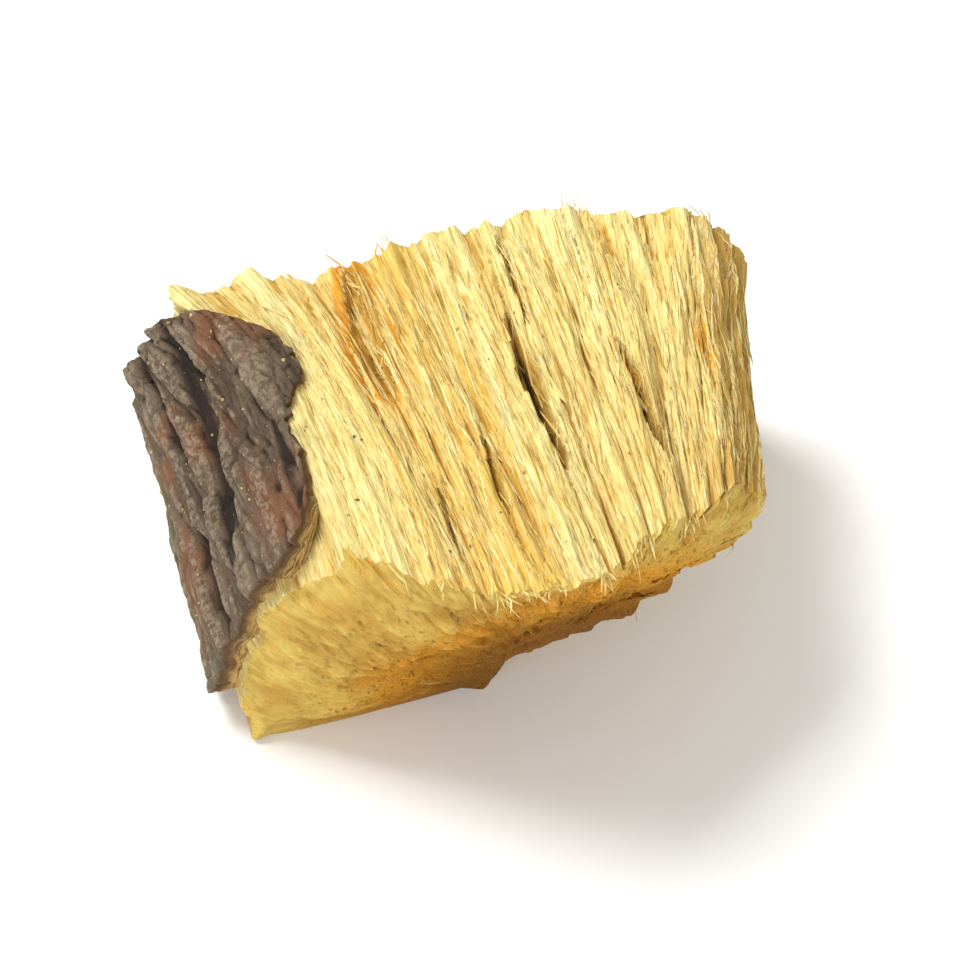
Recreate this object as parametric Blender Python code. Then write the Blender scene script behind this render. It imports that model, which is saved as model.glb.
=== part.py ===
"""One chopped piece of dried licorice root, resting on its flat split underside.

The piece is a chunk of a root about 11 mm thick, cut across at both ends and split along the grain.
The grain runs along Y, the wrinkled bark is on the -X side and the fibrous split face looks up.
It grew as one piece, so it is one solid. Lengths are in millimetres until the mesh is written.
"""

import bmesh
import bpy
import numpy as np
from mathutils import Vector
from mathutils.geometry import delaunay_2d_cdt

MM = 0.001

# The cross-section's corners (x, z), clockwise seen from the front: along the split top, down the
# right side, along the flat underside and up the bark. The front end is the one at -Y.
FRONT_CORNERS = np.array([
    (-2.35, 4.92), (-0.50, 5.26), (1.60, 5.04), (3.85, 4.62), (4.45, 3.70), (4.20, 2.70),
    (2.90, 1.90), (1.10, 0.80), (-0.20, 0.00), (-3.85, 0.00), (-4.08, 0.60), (-3.55, 2.90),
])
BACK_CORNERS = np.array([
    (-3.40, 4.50), (-1.00, 5.02), (1.50, 5.26), (5.05, 5.20), (5.65, 3.90), (5.85, 2.20),
    (5.55, 0.95), (4.90, 0.30), (3.90, 0.00), (-3.50, 0.00), (-3.68, 0.60), (-3.90, 2.60),
])
# Above 1, a corner keeps its front place for longer on the way to the back.
CORNER_LAG = np.array([3.0, 2.0, 1.0, 1.0, 1.0, 1.0, 1.0, 1.0, 1.0, 1.0, 1.0, 2.0])
POINTS_PER_EDGE = (19, 22, 27, 12, 9, 10, 10, 8, 8, 3, 7, 8)
TOP_END, SIDE_END, UNDER_START, UNDER_END = 3.0, 7.6, 7.95, 9.05
CORNER_ROUNDING = 0.11  # half the stretch of an edge that each corner is rounded over

STATIONS = 30  # cross-sections from the front cut to the back cut
CUT_SPACING = 0.36  # between the points of a cut end
PITH = np.array([0.90, 1.00])  # the root's centre line, (x, z)
BOX_CENTRE = np.array([0.749, -0.472, 0.0])

TOP_Z = 5.0
FRONT_Y, FRONT_LEAN = -4.35, 0.36  # the front cut overhangs by the lean for each mm of height
FACET_X, FACET_Y, FACET_SLOPE, FACET_SPREAD = -2.38, -2.70, 0.93, 0.256
BACK_Y = 2.35

# Lens-shaped cracks along the grain: place across, y, half length, half width, depth, lean.
# On the top face the place is x. On the bark it is the distance up from the foot of its side.
TOP_CRACKS = (
    (-0.75, 1.05, 1.35, 0.16, 0.50, 0.02),
    (1.42, -0.75, 1.55, 0.20, 0.80, 0.02),
    (2.98, -1.30, 1.15, 0.15, 0.50, -0.03),
    (-0.62, -2.75, 0.75, 0.14, 0.35, 0.04),
    (1.75, 1.35, 0.90, 0.11, 0.30, 0.00),
    (0.35, -1.95, 0.95, 0.11, 0.30, 0.05),
)

BARK_CRACKS = (
    (2.95, 0.80, 2.60, 0.36, 0.26, 0.28),
    (4.10, -0.70, 1.00, 0.14, 0.18, 0.10),
    (1.60, -0.30, 1.60, 0.17, 0.18, 0.12),
    (2.30, 1.90, 1.10, 0.15, 0.17, 0.05),
)
BARK_FOOT = 10.0

# The bark's borders. The front one lies at a share of the way to the back, by the share of the way
# up the bark. The top one lies at a place round the corners, by the share of the way to the back.
BARK_FRONT = ((0.00, 0.15, 0.30, 0.70, 0.85, 1.00), (0.17, 0.12, 0.05, 0.03, 0.07, 0.21))
BARK_TOP = (
    (0.00, 0.10, 0.20, 0.32, 0.42, 0.52, 0.65, 0.82, 0.93, 1.00),
    (11.84, 11.94, 12.02, 11.96, 12.06, 12.32, 12.37, 12.28, 11.98, 11.64),
)

BARK_THICKNESS, BARK_THINNEST = 0.32, 0.12
BARK_ROOTING = 0.22  # how deep the bark's inner face is sunk into the wood
WOOD_COLOUR = (0.66, 0.44, 0.13, 1.0)
BARK_COLOUR = (0.13, 0.08, 0.055, 1.0)


def random_table(seed):
    return np.random.default_rng(seed).random((64, 64, 3))


def smooth_noise(a, b, seed):
    """Random values on a whole-number lattice, blended by a smooth step: from 0 to 1."""
    table = random_table(seed)[:, :, 0]
    a0, b0 = np.floor(a).astype(int), np.floor(b).astype(int)
    fa, fb = a - a0, b - b0
    fa, fb = fa * fa * (3 - 2 * fa), fb * fb * (3 - 2 * fb)
    near = table[a0 % 64, b0 % 64] * (1 - fa) + table[(a0 + 1) % 64, b0 % 64] * fa
    far = table[a0 % 64, (b0 + 1) % 64] * (1 - fa) + table[(a0 + 1) % 64, (b0 + 1) % 64] * fa
    return near * (1 - fb) + far * fb


def strands(a, b, seed, sharpness=9.0):
    """Cells of a jittered lattice: (a height of its own for each cell, nearness to a cell's border)."""
    table = random_table(seed)
    a0, b0 = np.floor(a).astype(int), np.floor(b).astype(int)
    weight, height = np.zeros_like(a), np.zeros_like(a)
    first, second = np.full_like(a, 9.0), np.full_like(a, 9.0)
    for step_a in (-1, 0, 1):
        for step_b in (-1, 0, 1):
            cell = table[(a0 + step_a) % 64, (b0 + step_b) % 64]
            distance = np.hypot(a0 + step_a + cell[..., 0] - a, b0 + step_b + cell[..., 1] - b)
            share = np.exp(-sharpness * distance)
            weight, height = weight + share, height + share * cell[..., 2]
            second = np.minimum(second, np.maximum(first, distance))
            first = np.minimum(first, distance)
    return height / weight - 0.5, np.exp(-6.0 * (second - first))


def smooth_max(a, b, blend):
    return 0.5 * (a + b + np.sqrt((a - b) ** 2 + blend**2))


def ramp(value, start, end):
    """0 before start and 1 after end, with a smooth step between them."""
    share = np.clip((value - start) / (end - start), 0.0, 1.0)
    return share * share * (3 - 2 * share)


def section(u, t):
    """The outline's (x, z) at place u round the corners and share t of the way to the back.
    Straight edges join the corners, and an average over a short stretch of u rounds them."""
    share_back = t[..., None, None] ** CORNER_LAG[:, None]
    corners = FRONT_CORNERS + (BACK_CORNERS - FRONT_CORNERS) * share_back
    count = len(FRONT_CORNERS)
    total = np.zeros(u.shape + (2,))
    offsets = np.linspace(-CORNER_ROUNDING, CORNER_ROUNDING, 9)
    for offset in offsets:
        place = (u + offset) % count
        first = np.floor(place).astype(int) % count
        share = (place - np.floor(place))[..., None]
        index = first[..., None, None]
        start = np.take_along_axis(corners, np.repeat(index, 2, -1), -2)[..., 0, :]
        end = np.take_along_axis(corners, np.repeat((index + 1) % count, 2, -1), -2)[..., 0, :]
        total += start * (1 - share) + end * share
    return total / len(offsets)


def outward(u, t):
    """The outline's outward normal in the (x, z) plane, from its slope along u."""
    step = 0.04
    along = section(u + step, t) - section(u - step, t)
    normal = np.stack([-along[..., 1], along[..., 0]], -1)
    return normal / np.linalg.norm(normal, axis=-1, keepdims=True)


def round_the_outline(u):
    """Millimetres along the outline from the first corner to u, on the mean of both ends."""
    mean = (FRONT_CORNERS + BACK_CORNERS) / 2
    edges = np.linalg.norm(np.roll(mean, -1, 0) - mean, axis=1)
    lengths = np.concatenate([[0], np.cumsum(edges)])
    once_round = np.floor_divide(u, len(mean))
    return np.interp(u - once_round * len(mean), np.arange(len(mean) + 1), lengths) + once_round * lengths[-1]


def front_cut(x, z):
    """y of the front cut: a leaning cut that is worn back at the top on the right, and an oblique
    one that takes off the bark's corner."""
    drop = TOP_Z - z
    straight = FRONT_Y + FRONT_LEAN * drop + 0.055 * np.maximum(0.0, x - 0.5) ** 2
    straight = straight + 0.14 * np.maximum(0.0, x - 0.8) * np.maximum(0.0, 1.4 - drop)
    oblique = FACET_Y - FACET_SLOPE * (x - FACET_X + FACET_SPREAD * drop)
    return smooth_max(straight, oblique, 0.4)


def back_cut(x, z):
    left, right = np.maximum(0.0, -x), np.maximum(0.0, x - 1.5)
    return BACK_Y + 0.07 * left**2 - 0.05 * right**2 + 0.05 * (z - 2.5)


def lengthwise(x, z, t):
    """y at share t of the way from the front cut to the back cut."""
    front, back = front_cut(x, z), back_cut(x, z)
    return front + (back - front) * t


def crack_depth(cracks, place, y):
    depth = np.zeros_like(place)
    for middle, crack_y, half_length, half_width, deepest, lean in cracks:
        lens = np.sqrt(np.clip(1 - ((y - crack_y) / half_length) ** 2, 0.01, 1))
        across = np.abs(place - middle - lean * (y - crack_y)) / (half_width * lens)
        depth = np.maximum(depth, deepest * lens * np.clip(1.15 - across, 0, 1))
    return depth


def bark_top(b):
    """The place round the corners that the bark reaches up to, rounded off between its points."""
    steps = np.linspace(-0.05, 0.05, 7)
    return np.mean([np.interp(b + step, *BARK_TOP) for step in steps], axis=0)


def wood_relief(u, t, x, y):
    """Height of the split faces above the plain outline: bundles of fibre and the cracks."""
    place = round_the_outline(u)
    wander = 0.45 * smooth_noise(place * 0.4, y * 0.3 + 7, 5)
    bundle, bundle_groove = strands((place + wander) / 0.90, y / 9.0, 11)
    fibre, fibre_groove = strands((place + wander) / 0.38, y / 6.0 + 3, 12)
    swell = smooth_noise(place / 2.4, y / 4.0, 13) - 0.5
    relief = 0.40 * swell + 0.30 * bundle - 0.13 * bundle_groove + 0.16 * fibre - 0.08 * fibre_groove
    over = np.maximum(0.0, bark_top(t) - 12)
    split = ramp(u - over, 0.0, 0.25) * (1 - ramp(u, SIDE_END, UNDER_START))
    left = 0.4 * ramp(u, UNDER_END, UNDER_END + 0.4) * (1 - ramp(u, 11.8, 12.0))
    top = ramp(u, 0.1, 0.3) * (1 - ramp(u, TOP_END - 0.3, TOP_END))
    return split * relief + left * (relief - 0.25) - top * crack_depth(TOP_CRACKS, x, y)


def cut_relief(x, z, seed):
    """Height of a cut end: rays that fan out from the pith, torn bundles and the knife's waves."""
    dx, dz = x - PITH[0], z - PITH[1]
    angle, radius = np.arctan2(dz, dx), np.hypot(dx, dz)
    ray, ray_groove = strands(angle * 7.0 + 40, radius / 3.5 + 5, seed)
    bundle, _ = strands(x / 0.75 + 20, z / 0.75 + 20, seed + 1)
    wave = smooth_noise(x / 2.4 + 30, z / 2.4 + 30, seed + 2) - 0.5
    return ramp(radius, 0.5, 2.5) * (0.14 * ray - 0.08 * ray_groove) + 0.14 * bundle + 0.35 * wave


def wood_wall():
    """Points of the wood's side wall, (stations, round, 3)."""
    edges = [e + np.arange(n) / n for e, n in enumerate(POINTS_PER_EDGE)]
    u, t = np.meshgrid(np.concatenate(edges), np.linspace(0, 1, STATIONS))
    flat, normal = section(u, t), outward(u, t)
    y = lengthwise(flat[..., 0], flat[..., 1], t)
    under = ramp(u, UNDER_START, UNDER_START + 0.1) * (1 - ramp(u, UNDER_END - 0.1, UNDER_END))
    relief = wood_relief(u, t, flat[..., 0], y) * (1 - under)
    flat = flat + normal * relief[..., None]
    flat[..., 1] = np.maximum(flat[..., 1], 0.0)
    torn = smooth_noise(round_the_outline(u) / 0.30, np.where(t < 0.5, 3.0, 9.0), 15) - 0.5
    y = y + 0.22 * torn * (1 - under) * ramp(np.abs(t - 0.5), 0.3, 0.5)
    return np.stack([flat[..., 0], y, flat[..., 1]], -1)


def distance_to_rim(points, rim):
    """The distance of each (x, z) point from the closed line through the rim's points."""
    along = np.roll(rim, -1, 0) - rim
    offset = points[:, None] - rim[None]
    share = np.clip((offset * along).sum(-1) / (along**2).sum(-1), 0, 1)
    return np.linalg.norm(offset - share[..., None] * along, axis=-1).min(1)


def is_inside(points, rim):
    """True for each (x, z) point from which a line to the right crosses the rim an odd number of times."""
    after = np.roll(rim, -1, 0)
    x, z = points[:, None, 0], points[:, None, 1]
    spans = (rim[:, 1] > z) != (after[:, 1] > z)
    rise = np.where(after[:, 1] == rim[:, 1], 1.0, after[:, 1] - rim[:, 1])
    crossing = rim[:, 0] + (z - rim[:, 1]) * (after[:, 0] - rim[:, 0]) / rise
    return (spans & (x < crossing)).sum(1) % 2 == 1


def cut_end(bm, rim_vertices, rim, cut, outward_y, seed):
    """Closes one end with triangles between the rim and points on a shaken lattice inside it."""
    columns, rows = np.meshgrid(np.arange(-16, 20), np.arange(0, 20))
    shake = random_table(seed)[:20, :36, :2]
    x = (columns + 0.5 * (rows % 2) + 0.5 * shake[..., 0]) * CUT_SPACING
    z = (rows + 0.5 * shake[..., 1]) * CUT_SPACING * 0.9
    lattice = np.stack([x, z], -1).reshape(-1, 2)
    inner = lattice[is_inside(lattice, rim) & (distance_to_rim(lattice, rim) > 0.55 * CUT_SPACING)]
    depth = ramp(distance_to_rim(inner, rim), 0.0, 1.2)
    y = cut(inner[:, 0], inner[:, 1]) + outward_y * depth * cut_relief(inner[:, 0], inner[:, 1], seed)
    points = np.stack([inner[:, 0], y, inner[:, 1]], -1)
    vertices = rim_vertices + [bm.verts.new((point - BOX_CENTRE) * MM) for point in points]
    flat = [Vector(point) for point in np.concatenate([rim, inner]).tolist()]
    ring = [(i, (i + 1) % len(rim)) for i in range(len(rim))]
    result = delaunay_2d_cdt(flat, ring, [], 1, 1e-6)
    for face in result[2]:
        corners = [vertices[result[3][index][0]] for index in face]
        bm.faces.new(corners if outward_y < 0 else corners[::-1])


def bark_patch(across, along, seed):
    """Outer and inner points of the sheet of bark on the left side, with ragged borders."""
    a, b = np.meshgrid(np.linspace(0, 1, across), np.linspace(0, 1, along))
    u_top = bark_top(b) + 0.12 * (smooth_noise(b * 8, b * 0 + 5, seed) - 0.5)
    u_foot = 9.25 + 0.25 * (smooth_noise(b * 6, b * 0 + 1, seed) - 0.5)
    u = u_foot * (1 - a) + u_top * a
    front = np.interp(a, *BARK_FRONT) + 0.03 * (smooth_noise(a * 8, a * 0 + 9, seed) - 0.5)
    t = front * (1 - b) + 0.975 * b
    flat, normal = section(u, t), outward(u, t)
    y = lengthwise(flat[..., 0], flat[..., 1], t)
    place = round_the_outline(u)
    plate, plate_groove = strands(place / 0.70, y / 3.0 + 9, seed + 1)
    wrinkle = smooth_noise(place / 0.32, y / 1.3 + 4, seed + 2) - 0.5
    height = BARK_THICKNESS + 0.24 * plate - 0.14 * plate_groove + 0.12 * wrinkle
    height = height - crack_depth(BARK_CRACKS, place - round_the_outline(BARK_FOOT), y)
    height = np.maximum(height * (1 - 0.5 * ramp(a, 0.86, 1.0)), BARK_THINNEST)
    outer_flat = flat + normal * height[..., None]
    inner_flat = flat - normal * BARK_ROOTING
    outer = np.stack([outer_flat[..., 0], y, np.maximum(outer_flat[..., 1], 0.02)], -1)
    inner = np.stack([inner_flat[..., 0], y, inner_flat[..., 1]], -1)
    return outer, inner


def grid_faces(bm, grid, closed_round, flip):
    """Adds the grid's points and its quads, and returns the vertices as rows."""
    rows = [[bm.verts.new((point - BOX_CENTRE) * MM) for point in row] for row in grid]
    join_rows(bm, rows, closed_round, flip)
    return rows


def join_rows(bm, rows, closed_round, flip):
    for low, high in zip(rows, rows[1:]):
        for i in range(len(low) if closed_round else len(low) - 1):
            j = (i + 1) % len(low)
            quad = (low[i], low[j], high[j], high[i])
            bm.faces.new(quad[::-1] if flip else quad)


def new_object(name, bm, material):
    bmesh.ops.triangulate(bm, faces=bm.faces)
    bmesh.ops.recalc_face_normals(bm, faces=bm.faces)
    mesh = bpy.data.meshes.new(name)
    bm.to_mesh(mesh)
    bm.free()
    mesh.materials.append(material)
    obj = bpy.data.objects.new(name, mesh)
    bpy.context.scene.collection.objects.link(obj)
    return obj


def wood_block(name, material):
    wall = wood_wall()
    bm = bmesh.new()
    rows = grid_faces(bm, wall, True, False)
    cut_end(bm, rows[0], wall[0][:, [0, 2]], front_cut, -1, 21)
    cut_end(bm, rows[-1], wall[-1][:, [0, 2]], back_cut, 1, 31)
    return new_object(name, bm, material)


def bark_sheet(name, material, across, along, seed):
    outer, inner = bark_patch(across, along, seed)
    bm = bmesh.new()
    outside = grid_faces(bm, outer, False, False)
    inside = grid_faces(bm, inner, False, True)
    border = border_of(outside)
    under = border_of(inside)
    join_rows(bm, [border, under], True, False)
    return new_object(name, bm, material)


def border_of(rows):
    """The vertices round a grid's edge, in order."""
    right = [row[-1] for row in rows[1:-1]]
    left = [row[0] for row in rows[1:-1]]
    return rows[0] + right + rows[-1][::-1] + left[::-1]


def new_material(name, colour, roughness):
    material = bpy.data.materials.new(name)
    material.use_nodes = True
    shader = material.node_tree.nodes["Principled BSDF"]
    shader.inputs["Base Color"].default_value = colour
    shader.inputs["Roughness"].default_value = roughness
    shader.inputs["Metallic"].default_value = 0.0
    return material


def join(target, additions):
    """Unites the additions with the target in one Boolean, then removes them."""
    collection = bpy.data.collections.new("additions")
    bpy.context.scene.collection.children.link(collection)
    for obj in additions:
        bpy.context.scene.collection.objects.unlink(obj)
        collection.objects.link(obj)
    union = target.modifiers.new("union", "BOOLEAN")
    union.operation = "UNION"
    union.operand_type = "COLLECTION"
    union.collection = collection
    union.material_mode = "TRANSFER"
    bpy.context.view_layer.objects.active = target
    bpy.ops.object.modifier_apply(modifier=union.name)
    for obj in additions:
        bpy.data.objects.remove(obj)
    bpy.data.collections.remove(collection)


for old in list(bpy.data.objects):
    bpy.data.objects.remove(old)

wood = new_material("wood", WOOD_COLOUR, 0.75)
bark = new_material("bark", BARK_COLOUR, 0.85)
root = wood_block("licorice_root", wood)
left_bark = bark_sheet("left_bark", bark, across=22, along=26, seed=41)
join(root, [left_bark])
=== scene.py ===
"""Looks of one chopped piece of dried licorice root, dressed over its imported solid.

The grain runs along Y, the bark is on the -X side and the split face looks up. Shapes are worked
out in millimetres and written to the meshes in metres.
"""

import bpy
import numpy as np
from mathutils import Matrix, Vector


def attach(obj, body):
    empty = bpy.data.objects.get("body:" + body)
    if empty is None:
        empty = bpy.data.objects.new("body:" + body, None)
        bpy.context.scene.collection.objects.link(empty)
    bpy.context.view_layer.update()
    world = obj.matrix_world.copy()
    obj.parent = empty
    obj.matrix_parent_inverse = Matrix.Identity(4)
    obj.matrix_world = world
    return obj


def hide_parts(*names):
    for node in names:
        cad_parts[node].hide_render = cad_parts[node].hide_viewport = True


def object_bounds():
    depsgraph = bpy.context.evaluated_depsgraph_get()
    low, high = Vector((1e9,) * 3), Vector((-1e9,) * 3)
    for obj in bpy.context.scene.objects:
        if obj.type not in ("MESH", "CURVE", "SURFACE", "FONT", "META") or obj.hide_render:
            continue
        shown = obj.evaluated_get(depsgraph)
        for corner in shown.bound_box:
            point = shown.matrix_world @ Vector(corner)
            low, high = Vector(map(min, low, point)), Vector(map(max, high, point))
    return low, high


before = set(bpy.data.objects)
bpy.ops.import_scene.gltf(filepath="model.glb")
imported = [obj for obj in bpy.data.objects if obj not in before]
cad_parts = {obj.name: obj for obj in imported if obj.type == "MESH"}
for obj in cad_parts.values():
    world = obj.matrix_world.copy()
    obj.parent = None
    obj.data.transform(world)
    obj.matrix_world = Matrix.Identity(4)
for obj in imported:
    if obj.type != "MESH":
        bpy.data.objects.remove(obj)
solid_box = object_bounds()


# The wood: a chunk out of a root about 11 mm thick. Its top, its right side and its underside were
# split along the grain, so they show strands, torn lanes and cracks, and a knife cut both ends.
MM = 0.001
# Corners of the outline as (x, z), clockwise from the top's left end as seen from the front.
FRONT_CORNERS = np.array([
    (-2.35, 4.92), (-0.50, 5.26), (1.60, 5.04), (3.85, 4.62), (4.45, 3.70), (4.20, 2.70),
    (2.90, 1.90), (1.10, 0.80), (-0.20, 0.00), (-3.85, 0.00), (-4.08, 0.60), (-3.55, 2.90),
])
BACK_CORNERS = np.array([
    (-3.40, 4.50), (-1.00, 5.02), (1.50, 5.26), (5.05, 5.20), (5.65, 3.90), (5.85, 2.20),
    (5.55, 0.95), (4.90, 0.30), (3.90, 0.00), (-3.50, 0.00), (-3.68, 0.60), (-3.90, 2.60),
])
# How late each corner moves from its front place to its back one: the power of the share.
CORNER_LAG = np.array([3.0, 2.0, 1.0, 1.0, 1.0, 1.0, 1.0, 1.0, 1.0, 1.0, 1.0, 2.0])
CORNER_ROUNDING = 0.11
TOP_END, SIDE_END, UNDER_START, UNDER_END = 3.0, 7.6, 7.95, 9.05
PITH = np.array([0.90, 1.00])
CUT_CENTRE = np.array([0.30, 2.70])
BOX_CENTRE = np.array([0.749, -0.472, 0.0])
TOP_Z = 5.0
FRONT_Y, FRONT_LEAN = -4.35, 0.36
FACET_X, FACET_Y, FACET_SLOPE, FACET_SPREAD = -2.38, -2.70, 0.93, 0.256
BACK_Y = 2.35
# Each crack or amber streak: middle across the grain, middle along it, half length, half width,
# depth and lean.
TOP_CRACKS = (
    (-0.75, 1.05, 1.35, 0.24, 0.36, 0.02),
    (1.42, -0.75, 1.55, 0.18, 0.72, 0.02),
    (2.98, -1.30, 1.15, 0.14, 0.50, -0.03),
    (-0.62, -2.75, 0.75, 0.10, 0.35, 0.04),
    (1.75, 1.35, 0.90, 0.08, 0.30, 0.00),
    (0.35, -1.95, 0.95, 0.08, 0.30, 0.05),
)
AMBER_STREAKS = ((-0.72, 1.15, 1.60, 0.64, 1.00, 0.02), (4.38, -0.55, 0.55, 0.30, 0.80, 0.10))
# The bark's upper border: shares of the way to the back, and places round the corners.
BARK_TOP = (
    (0.00, 0.10, 0.20, 0.32, 0.42, 0.52, 0.65, 0.82, 0.93, 1.00),
    (11.84, 11.94, 12.02, 11.96, 12.06, 12.32, 12.37, 12.28, 11.98, 11.64),
)
# Columns of points along each edge of the outline.
WALL_COLUMNS = (60, 66, 86, 34, 28, 30, 28, 24, 20, 8, 44, 44)
WALL_STATIONS = 122
CUT_RINGS, CUT_FINE_RINGS = 60, 9
BUNDLE_WIDTH, FIBRE_WIDTH, THREAD_WIDTH, HAIR_WIDTH, VESSEL_WIDTH = 0.90, 0.38, 0.19, 0.12, 0.30
# A deeper coloured band of the top: from and to, in mm round the outline.
GOLDEN_BAND = (2.0, 3.7)
LATTICE = 64
FAR_OFF = 9.0
SHARP_FOLD = 1.1
HOLLOW_DEPTH = 0.14
DRY_SHINE = 0.2


def random_table(seed):
    return np.random.default_rng(seed).random((LATTICE, LATTICE, 3))


def smooth_noise(a, b, seed):
    """Random values on a whole-number lattice, blended by a smooth step: from 0 to 1."""
    table = random_table(seed)[:, :, 0]
    a0, b0 = np.floor(a).astype(int), np.floor(b).astype(int)
    fa, fb = a - a0, b - b0
    fa, fb = fa * fa * (3 - 2 * fa), fb * fb * (3 - 2 * fb)
    left, right = a0 % LATTICE, (a0 + 1) % LATTICE
    low, high = b0 % LATTICE, (b0 + 1) % LATTICE
    near = table[left, low] * (1 - fa) + table[right, low] * fa
    far = table[left, high] * (1 - fa) + table[right, high] * fa
    return near * (1 - fb) + far * fb


def ripple(a, b, seed):
    """The smooth noise about nought: from -0.5 to 0.5."""
    return smooth_noise(a, b, seed) - 0.5


def nearby_cells(a, b, seed):
    """The nine cells of a jittered lattice round each point: each cell's distance, measured to a
    random place inside it, and its random value."""
    table = random_table(seed)
    a0, b0 = np.floor(a).astype(int), np.floor(b).astype(int)
    for step_a in (-1, 0, 1):
        for step_b in (-1, 0, 1):
            cell = table[(a0 + step_a) % LATTICE, (b0 + step_b) % LATTICE]
            distance = np.hypot(a0 + step_a + cell[..., 0] - a, b0 + step_b + cell[..., 1] - b)
            yield distance, cell[..., 2]


def strands(a, b, seed, sharpness=9.0):
    """Height and grooves of long cells: the values of the cells near each point, blended by their
    distance, and how near the point is to the border between the closest two."""
    weight, height = np.zeros_like(a), np.zeros_like(a)
    first, second = np.full_like(a, FAR_OFF), np.full_like(a, FAR_OFF)
    for distance, value in nearby_cells(a, b, seed):
        share = np.exp(-sharpness * distance)
        weight, height = weight + share, height + share * value
        second = np.minimum(second, np.maximum(first, distance))
        first = np.minimum(first, distance)
    return height / weight - 0.5, np.exp(-6.0 * (second - first))


def pits(a, b, seed, share):
    """Long hollows in a share of the cells: 1 near the middle of such a cell and 0 away from it."""
    nearest = np.full_like(a, FAR_OFF)
    for distance, value in nearby_cells(a, b, seed):
        nearest = np.minimum(nearest, distance + FAR_OFF * (value > share))
    return 1 - ramp(nearest, 0.14, 0.36)


def smooth_max(a, b, rounding):
    """The greater of two values, with the corner where they cross rounded off."""
    return 0.5 * (a + b + np.sqrt((a - b) ** 2 + rounding**2))


def ramp(value, start, end):
    """0 before start and 1 after end, with a smooth step between them."""
    share = np.clip((value - start) / (end - start), 0.0, 1.0)
    return share * share * (3 - 2 * share)


def stretch_of(value, rise, full, fall, end):
    """1 from full to fall and 0 before rise and after end, with smooth steps."""
    return ramp(value, rise, full) * (1 - ramp(value, fall, end))


def unit(vectors):
    """The same directions, each of length 1."""
    return vectors / np.linalg.norm(vectors, axis=-1, keepdims=True)


def section(u, t):
    """The outline's (x, z) at place u round its corners and share t of the way to the back:
    straight edges, averaged over a short stretch to round the corners."""
    share_back = t[..., None, None] ** CORNER_LAG[:, None]
    corners = FRONT_CORNERS + (BACK_CORNERS - FRONT_CORNERS) * share_back
    count = len(FRONT_CORNERS)
    total = np.zeros(u.shape + (2,))
    offsets = np.linspace(-CORNER_ROUNDING, CORNER_ROUNDING, 9)
    for offset in offsets:
        place = (u + offset) % count
        first = np.floor(place).astype(int) % count
        share = (place - np.floor(place))[..., None]
        index = first[..., None, None]
        start = np.take_along_axis(corners, np.repeat(index, 2, -1), -2)[..., 0, :]
        end = np.take_along_axis(corners, np.repeat((index + 1) % count, 2, -1), -2)[..., 0, :]
        total += start * (1 - share) + end * share
    return total / len(offsets)


def outward(u, t):
    """The outline's outward normal: its slope along u, turned by a quarter."""
    step = 0.04
    along = section(u + step, t) - section(u - step, t)
    return unit(np.stack([-along[..., 1], along[..., 0]], -1))


def round_the_outline(u):
    """Millimetres along the outline from the first corner to u, on the mean of both ends."""
    mean = (FRONT_CORNERS + BACK_CORNERS) / 2
    edges = np.linalg.norm(np.roll(mean, -1, 0) - mean, axis=1)
    lengths = np.concatenate([[0], np.cumsum(edges)])
    turns = np.floor_divide(u, len(mean))
    within = np.interp(u - turns * len(mean), np.arange(len(mean) + 1), lengths)
    return within + turns * lengths[-1]


def bark_top(b):
    """The place round the corners that the bark reaches up to, at share b of the way to the back."""
    steps = np.linspace(-0.05, 0.05, 7)
    return np.mean([np.interp(b + step, *BARK_TOP) for step in steps], axis=0)


def front_cut(x, z):
    """y of the front cut: the further back of a leaning cut, worn back at the top on the right, and
    of an oblique one on the left."""
    drop = TOP_Z - z
    straight = FRONT_Y + FRONT_LEAN * drop + 0.055 * np.maximum(0.0, x - 0.5) ** 2
    straight = straight + 0.14 * np.maximum(0.0, x - 0.8) * np.maximum(0.0, 1.4 - drop)
    oblique = FACET_Y - FACET_SLOPE * (x - FACET_X + FACET_SPREAD * drop)
    return smooth_max(straight, oblique, 0.4)


def back_cut(x, z):
    """y of the back cut: a shallow curve that swings back on the left and forward on the right."""
    left, right = np.maximum(0.0, -x), np.maximum(0.0, x - 1.5)
    return BACK_Y + 0.07 * left**2 - 0.05 * right**2 + 0.05 * (z - 2.5)


def lengthwise(flat, t):
    """y at a share of the way from the front cut to the back cut, at the places (x, z) in flat."""
    front, back = front_cut(flat[..., 0], flat[..., 1]), back_cut(flat[..., 0], flat[..., 1])
    return front + (back - front) * t


def crack_depth(cracks, place, y):
    """Depth of lens-shaped cracks: a steep V about a wavering middle line, whose width swells and
    pinches along the way and shrinks to the two tips, as the depth does."""
    depth = np.zeros_like(place)
    for middle, crack_y, half_length, half_width, deepest, lean in cracks:
        row = np.full_like(y, 9.0 * middle)
        waver = 0.10 * ripple(y / 0.55, row, 71) + 0.04 * ripple(y / 0.16, row, 72)
        breadth = half_width * (0.45 + 0.60 * smooth_noise(y / 0.40, row + 3, 73))
        lens = np.sqrt(np.clip(1 - ((y - crack_y) / half_length) ** 2, 0.01, 1))
        across = np.abs(place - middle - lean * (y - crack_y) - waver) / (breadth * lens)
        depth = np.maximum(depth, deepest * lens * np.clip(1.15 - across, 0, 1) ** 0.7)
    return depth


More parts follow.
